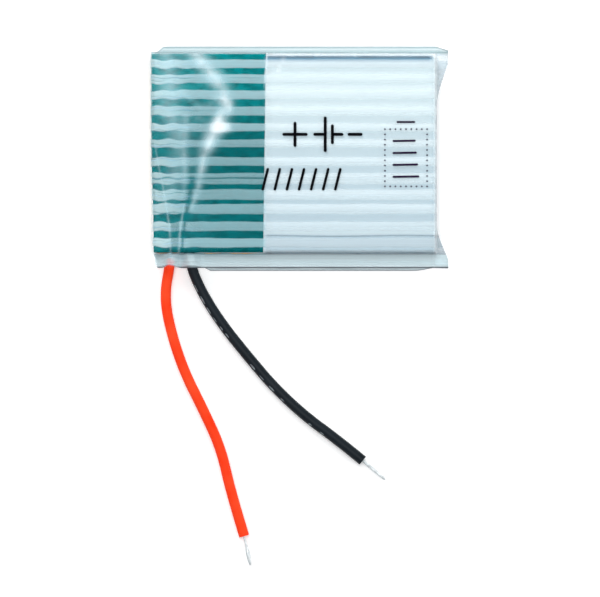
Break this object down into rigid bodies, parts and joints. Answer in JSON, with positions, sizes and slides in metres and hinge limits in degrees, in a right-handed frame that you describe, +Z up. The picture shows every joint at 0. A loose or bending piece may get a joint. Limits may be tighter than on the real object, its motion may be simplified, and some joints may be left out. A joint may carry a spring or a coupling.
{
  "type": "lithium polymer battery pack",
  "caption": "Flat single-cell pouch battery pack with a protection board, wrapped in clear filament tape, with two short stripped leads.",
  "frame": {"origin": "under the middle of the wrapped pack, without its leads, on the surface it lies on", "axes": "+X along the pack from the board end towards the folded tail, +Z up through the pack, leads leave the -Y side"},
  "size_m": [0.0378, 0.0654, 0.0044],
  "materials": {
    "clear_film": "glossy clear film",
    "glass_filament": "milky glass fibre bundles",
    "green_tape": "satin polyester tape",
    "laminate": "satin nylon-faced aluminium laminate",
    "anode": "matt graphite coating",
    "cathode": "matt oxide coating",
    "separator": "matt white porous film",
    "stack_tape": "satin blue tape",
    "nickel": "plain nickel",
    "aluminium_foil": "bright rolled",
    "tab_seal": "translucent heat-seal film",
    "foam": "closed-cell foam tape",
    "board": "green solder mask",
    "copper": "bright plated copper",
    "chip": "matt moulded black",
    "capacitor": "matt tan ceramic",
    "tin": "bright solder",
    "amber_film": "glossy amber film",
    "red_insulation": "satin silicone",
    "black_insulation": "satin silicone",
    "tinned_wire": "tinned strands"
  },
  "bodies": {
    "root": {"wrap_film_top": "clear_film", "wrap_film_bottom": "clear_film", "filaments_top": "glass_filament", "filaments_bottom": "glass_filament", "head_tape": "clear_film", "green_tape": "green_tape", "pouch_cup": "laminate", "pouch_cover": "laminate", "anode_plates": "anode", "cathode_plates": "cathode", "separator": "separator", "stack_tape": "stack_tape", "negative_tab": "nickel", "positive_tab": "aluminium_foil", "nickel_strip": "nickel", "negative_tab_seal": "tab_seal", "positive_tab_seal": "tab_seal", "board_pad": "foam", "circuit_board": "board", "solder_lands": "copper", "dual_mosfet": "chip", "dual_mosfet_pins": "tin", "protection_ic": "chip", "protection_ic_pins": "tin", "chip_resistors": "chip", "chip_capacitor": "capacitor", "chip_end_caps": "tin", "board_wrap": "amber_film", "head_spacer": "foam", "tab_solder": "tin", "lead_solder": "tin", "red_lead_insulation": "red_insulation", "red_lead_core": "tinned_wire", "black_lead_insulation": "black_insulation", "black_lead_core": "tinned_wire"}
  },
  "joints": []
}
